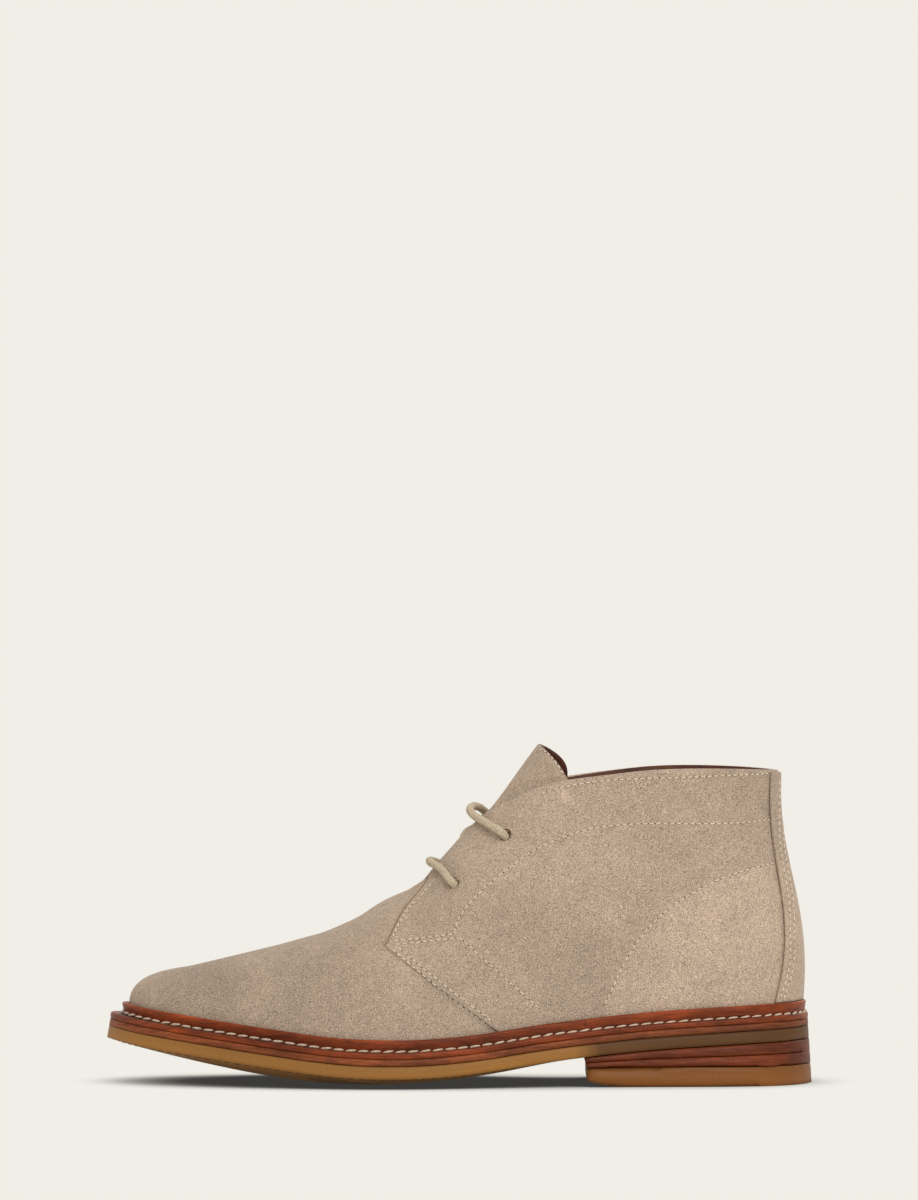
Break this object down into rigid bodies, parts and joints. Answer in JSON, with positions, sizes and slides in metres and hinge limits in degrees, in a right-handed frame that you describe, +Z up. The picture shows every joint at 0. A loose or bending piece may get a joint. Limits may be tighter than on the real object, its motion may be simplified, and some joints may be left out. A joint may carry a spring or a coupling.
{
  "type": "chukka boot",
  "caption": "Ankle-high suede boot with an open collar, a laced throat with a tongue, and a welted leather and gum sole with a low stacked heel.",
  "frame": {"origin": "on the floor under the middle of the boot's box, standing on its sole", "axes": "+Z up, +X from the toe to the heel, -Y to the outer side of the foot"},
  "size_m": [0.3022, 0.1082, 0.1452],
  "materials": {
    "suede": "napped suede, matte",
    "brown_leather": "waxed veg-tanned leather, satin",
    "gum_rubber": "moulded gum rubber, satin",
    "insole_leather": "smooth lining leather",
    "waxed_lace": "round waxed lace, satin"
  },
  "bodies": {
    "root": {"upper": "suede", "tongue": "suede", "backstay": "suede", "insole": "insole_leather", "welt": "brown_leather", "midsole": "brown_leather", "outsole": "gum_rubber", "heel_lift_1": "brown_leather", "heel_lift_2": "brown_leather", "heel_top_piece": "gum_rubber", "lace_lower_bar": "waxed_lace", "lace_upper_bar": "waxed_lace", "lace_crossing": "waxed_lace"}
  },
  "joints": []
}
